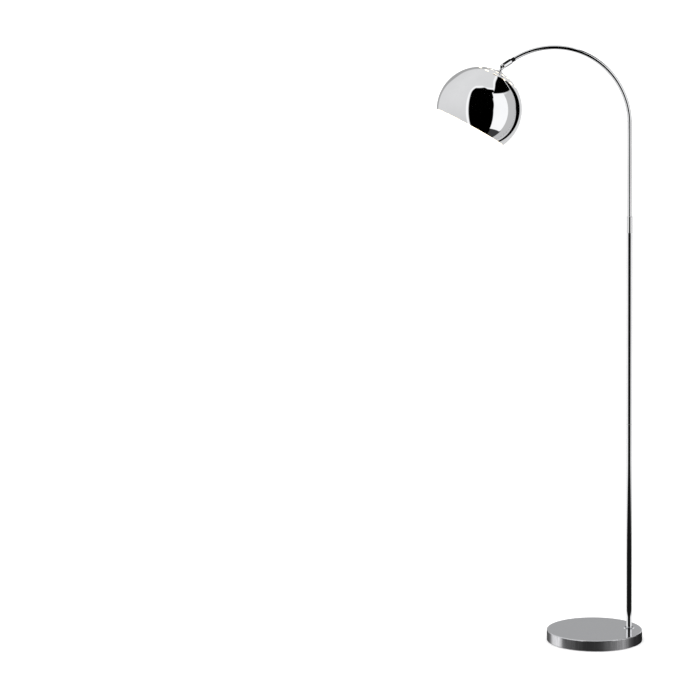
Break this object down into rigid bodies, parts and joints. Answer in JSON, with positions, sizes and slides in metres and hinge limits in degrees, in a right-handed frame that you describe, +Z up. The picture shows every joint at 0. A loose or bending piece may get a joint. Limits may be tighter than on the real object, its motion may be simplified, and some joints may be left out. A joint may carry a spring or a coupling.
{
  "type": "arc floor lamp",
  "caption": "Tall chrome floor lamp: round weighted base with an offset pole, circular arm over the base, and a vented dome shade that tilts on a knuckle.",
  "frame": {"origin": "centre of the base's underside, on the floor", "axes": "+Z up, along the pole; the pole stands 105 mm towards +X from the origin and the arm reaches over to -X, where the shade hangs; -Y is the front, from which the picture was taken"},
  "size_m": [0.5957, 0.2806, 1.7429],
  "materials": {
    "chrome": "mirror chrome plate",
    "shade_chrome": "mirror chrome plate outside, white paint inside",
    "cast_iron": "rough casting",
    "zinc_steel": "bright zinc plate",
    "foam": "matte closed-cell foam",
    "black_plastic": "moulded, satin",
    "flex_sheath": "smooth flexible sheath",
    "brass": "stamped strip",
    "aluminium": "rolled thread, satin",
    "white_glass": "opal white glass, lit"
  },
  "bodies": {
    "stand": {"base_cover": "chrome", "base_weight": "cast_iron", "base_plate": "zinc_steel", "base_pad": "foam", "base_screw_1": "zinc_steel", "base_screw_2": "zinc_steel", "base_screw_3": "zinc_steel", "base_screw_4": "zinc_steel", "cord_gland": "black_plastic", "stud_washer": "zinc_steel", "stud_nut": "zinc_steel", "pole_stud": "zinc_steel", "foot_insert": "zinc_steel", "pole_tube_lower": "chrome", "lower_joint_insert": "zinc_steel", "pole_nipple": "zinc_steel", "upper_joint_insert": "zinc_steel", "pole_tube_upper": "chrome", "swivel_bush": "chrome", "stand_flex": "flex_sheath"},
    "arm": {"arm_tube": "chrome", "arm_retaining_ring": "zinc_steel", "arm_flex": "flex_sheath", "end_sleeve": "chrome", "sleeve_screw": "zinc_steel", "knuckle_bolt": "chrome", "knuckle_nut": "chrome", "knuckle_washer_front": "zinc_steel", "knuckle_washer_back": "zinc_steel"},
    "shade": {"knuckle_stem": "chrome", "crown_cap": "chrome", "shade_dome": "shade_chrome", "shade_washer": "zinc_steel", "stem_nut": "zinc_steel", "holder_cap": "black_plastic", "holder_body": "black_plastic", "holder_contact": "brass", "shade_flex": "flex_sheath", "bulb_cap": "aluminium", "bulb_glass": "white_glass"}
  },
  "joints": [
    {"name": "arm_swivel", "type": "hinge", "parent": "stand", "child": "arm", "pos_m": [0.105, 0, 1.2], "axis": [0, 0, 1], "range_deg": [-90, 90]},
    {"name": "shade_tilt", "type": "hinge", "parent": "arm", "child": "shade", "pos_m": [-0.26546, 0, 1.68596], "axis": [0, 1, 0], "range_deg": [-45, 40]}
  ]
}
